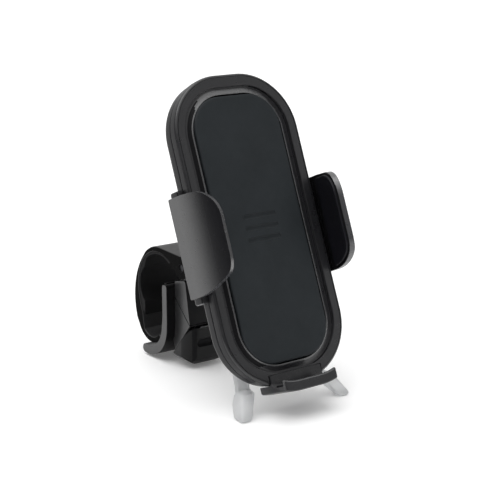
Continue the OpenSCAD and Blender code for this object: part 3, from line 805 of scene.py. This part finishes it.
def hull_of(points):
    pts = sorted(set(points))

    def half(seq):
        out = []
        for p in seq:
            while len(out) > 1 and ((out[-1][0] - out[-2][0]) * (p[1] - out[-2][1])
                                    - (out[-1][1] - out[-2][1]) * (p[0] - out[-2][0])) <= 0:
                out.pop()
            out.append(p)
        return out[:-1]
    return half(pts) + half(pts[::-1])


def clamp_arm():
    outer = [(HINGE[0] - 1.2, HINGE[1] + 5.35)]
    outer += arc(-6.5, 2.2, 18.6, 92, 45.6, 18) + arc(-16, -7.5, 31.98, 44, -19.5, 26)
    tongue = arc(*HOOK, 11.9, -26, -139, 30) + arc(*HOOK, 9.1, -139, -48, 26)
    inner = arc(-20.8, 0, 33.2, -26, 0, 14) + arc(-5.8, 0, 18.2, 4, 128, 30)
    inner += [(HINGE[0] - 1.2, HINGE[1] - 5.35)]
    bm = prism(outer + tongue + inner, -13, 13)
    round_edges(bm, 0.6, 3, 50)
    knuckle = round_edges(prism(arc(*HINGE, 5.6, 0, 350, 35), -13, 13), 0.6, 3, 50)
    bm = union(bm, knuckle)
    turn = math.radians(-17)
    room = [(HINGE[0] + a * math.cos(turn) - b * math.sin(turn), HINGE[1] + a * math.sin(turn) + b
             * math.cos(turn))
            for a, b in ((-8, 0), (6, 0), (6, 14), (-8, 14))]
    tools = [tube_x(*HINGE, 8.4, -6.2, 6.2, 48), tube_x(*HINGE, 1.85, -20, 20, 32),
             prism(room, -6.2, 6.2)]
    bm = cut(bm, *tools)
    return piece("clamp_arm_visual", bm, ALONG_X, "strap", M["strap"],
                 ["clamp_arm"],
                 # The strap side plastic paints shade on the strap's flat sides, with a rougher
                 # grain.
                 looks=[(M["strap_side_painted_shade"], lambda c, normal: abs(normal.z) > 0.8)])


def arm_liner():
    r, a, steep = 11.1, math.radians(52), (math.radians(35), math.radians(60))
    arch, back = Vector((-5.8, 0)), Vector((-20.8, 0))

    def slanted(sign, slope, centre, radius):
        """Where a line from the end of the round seat meets the arch."""
        start = Vector((r * math.cos(a), sign * r * math.sin(a)))
        d = a + math.pi / 2 - slope
        step = Vector((math.cos(d), sign * math.sin(d)))
        t = 0
        while (start + step * t - centre).length < radius and t < 20:
            t += 0.02
        return start + step * t

    top_end = slanted(1, steep[0], arch, 17)
    low_end = slanted(-1, steep[1], back, 32)
    top_angle = math.degrees(math.atan2(top_end.y - arch.y, top_end.x - arch.x))
    outline = arc(arch.x, arch.y, 18.12, 122, 0, 30) + arc(back.x, back.y, 33.12, 0, -24.4, 14)[1:]
    low_angle = math.degrees(math.atan2(low_end.y - back.y, low_end.x - back.x))
    outline += arc(back.x, back.y, 32, -25.5, low_angle - 1.5, 3)
    outline += arc(0, 0, r, -50, 50, 30)
    outline += arc(arch.x, arch.y, 17, top_angle + 2.5, 122, 24)
    bm = prism(outline, -12.6, 12.6)
    round_edges(bm, 0.3, 2, 50)
    return piece("arm_liner_visual", bm, ALONG_X, "strap", M["liner"],
                 ["arm_liner"])


def hook_liner():
    seat = arc(0, 0, 11.1, 180 - 24.3, 180 + 35, 24)
    outline = [(-11.9, 4.6)] + seat + [(-9.0, -6.4), (-11.9, -6.4)]
    bm = prism(outline, -12.6, 12.6)
    round_edges(bm, 0.25, 2, 60)
    return piece("hook_liner_visual", bm, ALONG_X, "clamp", M["liner"],
                 ["hook_liner"])


def release_lever():
    side = [(RIDGE[0] - 0.3, RIDGE[1] - 1.5), (RIDGE[0] + 0.75, RIDGE[1] - 2.0), (-15.9, -27.7),
            (-16.2, -29.5)]
    side += arc(-19.4, -30, 3, 0, -90, 8) + arc(-22, -27, 6, -90, -180, 10)
    front = [(x, z) for x, z in arc(0, -16.9, 16.4, 180 + 43.5, 360 - 43.5, 40)]
    front = [(-11.9, -10)] + front + [(11.9, -10)]
    body = prism(side, -12, 12)
    outline = moved(prism(front, 0, 45), ALONG_X.inverted() @ ALONG_Y)
    plan = [(-12, 0), (-12, -20)] + arc(-5, -21.02, 7.0, 182, 269, 14)
    plan += arc(5, -21.02, 7.0, 271, 358, 14) + [(12, -20), (12, 0)]
    above = moved(prism(plan, -40, 0), ALONG_X.inverted() @ ROW)
    bm = combine(body, "INTERSECT", outline, above)
    round_edges(bm, 0.7, 3, 35)
    dent_at = ALONG_X.inverted() @ Matrix.Translation((0, -0.0283, -0.0215))
    dent_at = dent_at @ Matrix.Rotation(math.pi / 2, 4, "X") @ Matrix.Scale(MM, 4)
    dent = moved(pill(9.5, 2.0, 0.8), dent_at)
    bm = cut(bm, dent, tube_x(*LEVER, 2, 3.4, 6.5))
    ears = []
    for s in (-1, 1):
        a, b = sorted((s * 7, s * 9.5))
        ears.append(prism(hull_of(arc(*LEVER, 2.2, 0, 345, 23) + arc(-24.6, -20, 1.2, 0, 330, 11)),
                          a, b))
    pawl = prism([(-24.5, -18), (-18, -21.5), (-10.6, -20.6), (-8.9, -22.2), (-11.5, -23.6),
                  (-18, -25.5)], -3, 3)
    bm = merged(bm, pawl, *ears)
    return piece("release_lever_visual", bm, ALONG_X, "lever", M["lever"],
                 ["release_lever"],
                 # Near-black plastic paints shade inside the dent.
                 looks=[(M["painted_shade"], lambda c, normal: c.x > -27.95 and abs(c.y + 21.5) < 2.1
                         and abs(c.z) < 9.1 and normal.x < -0.1)])


# ----------------------------------------------------------------------- feet

def side_point(v, n):
    p = FACE / MM + UP * v + OUT * n
    return (p.y, p.z)


def rest_foot(side):
    name = "left" if side < 0 else "right"
    floor_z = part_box(name + "_rest_foot")[0].z / MM

    def on_shell(x0, x1, v, front, back, tilt=0.0):
        (yf, zf), (yb, zb) = side_point(v, front), side_point(v - tilt, back)
        return (x0, yf, zf), (x1, yf, zf), (x1, yb, zb), (x0, yb, zb)

    def level(x0, x1, y0, y1, z, rise=0.0):
        return (x0, y0, z + rise), (x1, y0, z + rise), (x1, y1, z), (x0, y1, z)

    stations = [on_shell(16.9, 21.8, -46.0, -11.05, -13.4),
                on_shell(16.2, 22.5, -46.9, -11.04, -14.15),
                on_shell(16.2, 22.5, -58, -11.04, -14.2),
                on_shell(16.25, 22.8, -63.5, -11.05, -14.2),
                on_shell(16.5, 23.2, -65.6, -11.1, -14.1, 0.9),
                level(17.7, 24.4, -88.5, -81.2, -26.2, 2.0),
                level(20.0, 26.8, -91.3, -83.4, -29.0, 0.8),
                level(22.6, 28.8, -94.0, -87.2, floor_z + 1.6, 0.2),
                level(23.4, 29.0, -94.6, -88.0, floor_z + 0.7),
                level(24.0, 28.4, -94.1, -88.6, floor_z)]
    rings = [fillet([(side * x, y, z) for x, y, z in ring], 1.6, 6) for ring in stations]
    peg = moved(lathe([(0, -11.5), (1.6, -11.5), (1.6, -9.2), (1.4, -9), (0, -9)], 32),
                ROW.inverted() @ CRADLE @ Matrix.Translation((side * 19.3, -51, 0)))
    bm = merged(loft(rings), peg)
    return piece(name + "_rest_foot_visual", bm, ROW, "cradle", M["foot"],
                 [name + "_rest_foot"])


front_bezel()
face_pad()
back_shell()
for s in (-1, 1):
    jaw(s)
    jaw_pad(s)
    rest_foot(s)
bottom_ledge()
ledge_pad()
clamp_base()
joint_block()
clamp_arm()
arm_liner()
hook_liner()
release_lever()

CARRIED = {
    "block_screws": ("steel", 0.1), "hinge_pin": ("pin", 0.2), "lever_pin": ("steel", 0.1),
    "lever_spring": ("wire", 0),
    "collar_nut": ("nut", 0.35), "ball_seat": ("nut", 0), "ball_stud": ("ball", 0.2),
    "case_screws": ("steel", 0.1),
    "swivel_ring": ("shell", 0.35), "swivel_washer": ("liner", 0), "ring_screws": ("steel", 0.1),
    "pinion_axle": ("steel", 0.1), "pinion_spring": ("wire", 0), "pinion": ("gear", 0),
    "release_button": ("lever", 0.25),
    "button_spring": ("wire", 0),
}
for node, (key, edge) in CARRIED.items():
    repaint(node, key, edge)


# ------------------------------------------------------ floor, light and camera

def floor():
    z = min(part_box("left_rest_foot")[0].z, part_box("clamp_base")[0].z) - 0.0002
    bpy.ops.mesh.primitive_plane_add(size=14, location=(0, 3, z))
    plane = bpy.context.object
    plane.name = "floor"
    mat, tree, bsdf, where = new_material("floor_paper")
    tree.links.new(ramp(tree, noise(tree, where, 3, 2),
                        [(0.3, (0.93, 0.93, 0.93)), (0.7, (0.95, 0.95, 0.95))]),
                        bsdf.inputs["Base Color"])
    bsdf.inputs["Roughness"].default_value = 0.9
    bsdf.inputs["Specular IOR Level"].default_value = 0.0
    bsdf.inputs["Emission Color"].default_value = (1, 1, 1, 1)
    bsdf.inputs["Emission Strength"].default_value = 0.12
    plane.data.materials.append(mat)


def softbox(name, spot, target, size, power):
    data = bpy.data.lights.new(name, "AREA")
    data.shape = "RECTANGLE"
    data.size, data.size_y = size
    data.energy = power
    obj = bpy.data.objects.new(name, data)
    obj.location = spot
    obj.rotation_euler = (Vector(target) - Vector(spot)).to_track_quat("-Z", "Y").to_euler()
    bpy.context.scene.collection.objects.link(obj)


floor()
key = bpy.data.objects.new("key_light", bpy.data.lights.new("key_light", "SUN"))
key.data.energy = 1.5
key.data.angle = math.radians(60)
key.rotation_euler = Vector((-0.25, 0.15, 1)).to_track_quat("Z", "Y").to_euler()
bpy.context.scene.collection.objects.link(key)
softbox("right_light", (0.7, -0.9, 0.25), (0, -0.05, 0.03), (0.25, 0.8), 0.5)


# Strength of the studio's dark sides
STUDIO_DARK = 0.08


def surroundings():
    """A studio that is bright behind and overhead, and dark on the camera's side and to the left
    and right. Only reflections see the dark: a Light Path switch shows the camera a pale wall."""
    world = bpy.data.worlds.new("studio")
    world.use_nodes = True
    tree = world.node_tree
    back = tree.nodes["Background"]
    back.inputs["Color"].default_value = (1, 1, 1, 1)
    coords = tree.nodes.new("ShaderNodeTexCoord")
    split = tree.nodes.new("ShaderNodeSeparateXYZ")
    tree.links.new(coords.outputs["Generated"], split.inputs[0])
    parts = []
    for axis, start, end, top in (("Y", 0.15, 0.85, 0.9), ("Z", 0.3, 0.85, 1.0)):
        parts.append(smooth_range(tree, split.outputs[axis], start, end, STUDIO_DARK, top))
    brighter = tree.nodes.new("ShaderNodeMath")
    brighter.operation = "MAXIMUM"
    tree.links.new(parts[0], brighter.inputs[0])
    tree.links.new(parts[1], brighter.inputs[1])
    seen = tree.nodes.new("ShaderNodeLightPath")
    pale = tree.nodes.new("ShaderNodeMath")
    pale.operation = "MAXIMUM"
    tree.links.new(brighter.outputs[0], pale.inputs[0])
    tree.links.new(seen.outputs["Is Camera Ray"], pale.inputs[1])
    tree.links.new(pale.outputs[0], back.inputs["Strength"])
    bpy.context.scene.world = world


surroundings()
bpy.context.scene.view_settings.view_transform = "Standard"

# The camera fitted to the cradle's outline: its place from the middle of the bezel's face, its
# turn about Z and how far above the level it looks from
CAMERA_FROM_FACE = Vector((-0.32767, -0.44210, 0.13516))
CAMERA_TURN = math.radians(-36.0431)
CAMERA_RISE = math.radians(14.8085)
SENSOR, LENS = 36, 95.76
NEAR, FAR = 0.05, 40

camera = bpy.data.objects.new("camera", bpy.data.cameras.new("camera"))
camera.data.lens = LENS
camera.data.sensor_width = SENSOR
camera.data.clip_start, camera.data.clip_end = NEAR, FAR
look = Matrix.Rotation(CAMERA_TURN, 4, "Z") @ Matrix.Rotation(math.pi / 2 - CAMERA_RISE, 4, "X")
look.translation = FACE + CAMERA_FROM_FACE
camera.matrix_world = look
bpy.context.scene.collection.objects.link(camera)
bpy.context.scene.camera = camera
